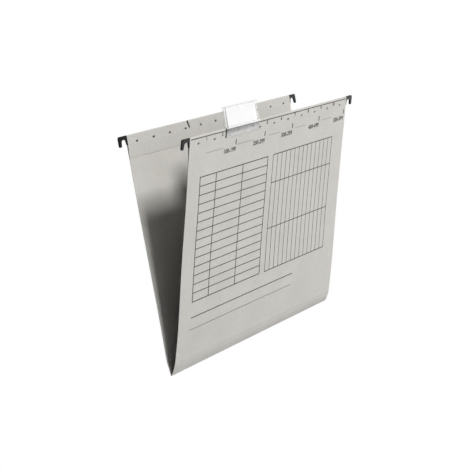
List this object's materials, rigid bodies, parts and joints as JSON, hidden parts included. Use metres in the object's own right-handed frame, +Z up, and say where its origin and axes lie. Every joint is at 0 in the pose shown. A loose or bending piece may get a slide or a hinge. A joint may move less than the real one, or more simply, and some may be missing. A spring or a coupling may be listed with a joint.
{
  "type": "hanging file folder",
  "caption": "Open card folder that hangs in a file drawer by hook-ended rails in its hems, with creased base and a clear clip-on index tab.",
  "frame": {"origin": "centre of the four hook seats, in the plane of the drawer's bars, at rest", "axes": "+X along the rails, -Y towards the printed front, +Z up"},
  "size_m": [0.3448, 0.076, 0.259],
  "materials": {
    "card": "uncoated grey recycled card",
    "rail_steel": "dark lacquered steel strip",
    "hook_plastic": "black moulded plastic",
    "hem_glue": "dried glue line",
    "clear_plastic": "clear film",
    "label_paper": "plain white label card"
  },
  "bodies": {
    "back_cover": {"back_panel": "card", "back_rail": "rail_steel", "back_left_hook": "hook_plastic", "back_right_hook": "hook_plastic", "back_hem_glue": "hem_glue"},
    "back_base": {"back_base_strip": "card"},
    "front_base": {"front_base_strip": "card"},
    "front_cover": {"front_panel": "card", "front_rail": "rail_steel", "front_left_hook": "hook_plastic", "front_right_hook": "hook_plastic", "front_hem_glue": "hem_glue"},
    "tab": {"tab_front_leaf": "clear_plastic"},
    "tab_back": {"tab_back_leaf": "clear_plastic"},
    "label": {"label_insert": "label_paper"}
  },
  "joints": [
    {"name": "back_score_fold", "type": "hinge", "parent": "back_cover", "child": "back_base", "pos_m": [0, 0.00511, -0.22101], "axis": [1, 0, 0], "range_deg": [0, 12.3]},
    {"name": "bottom_fold", "type": "hinge", "parent": "back_base", "child": "front_base", "pos_m": [0, 0, -0.23404], "axis": [1, 0, 0], "range_deg": [-16, 139]},
    {"name": "front_score_fold", "type": "hinge", "parent": "front_base", "child": "front_cover", "pos_m": [0, -0.00511, -0.22101], "axis": [1, 0, 0], "range_deg": [0, 12.3]},
    {"name": "tab_lift", "type": "slide", "parent": "front_cover", "child": "tab", "axis": [0, -0.1426, 0.9898], "range_m": [0, 0.014]},
    {"name": "tab_spread", "type": "hinge", "parent": "tab", "child": "tab_back", "pos_m": [-0.06335, -0.03497, 0.02394], "axis": [1, 0, 0], "range_deg": [0, 11.5]},
    {"name": "label_slide", "type": "slide", "parent": "tab", "child": "label", "axis": [-1, 0, 0], "range_m": [0, 0.063]}
  ],
  "couplings": [
    {"joint": "tab_spread", "follows": "tab_lift", "rad_per_m": 13.963}
  ]
}
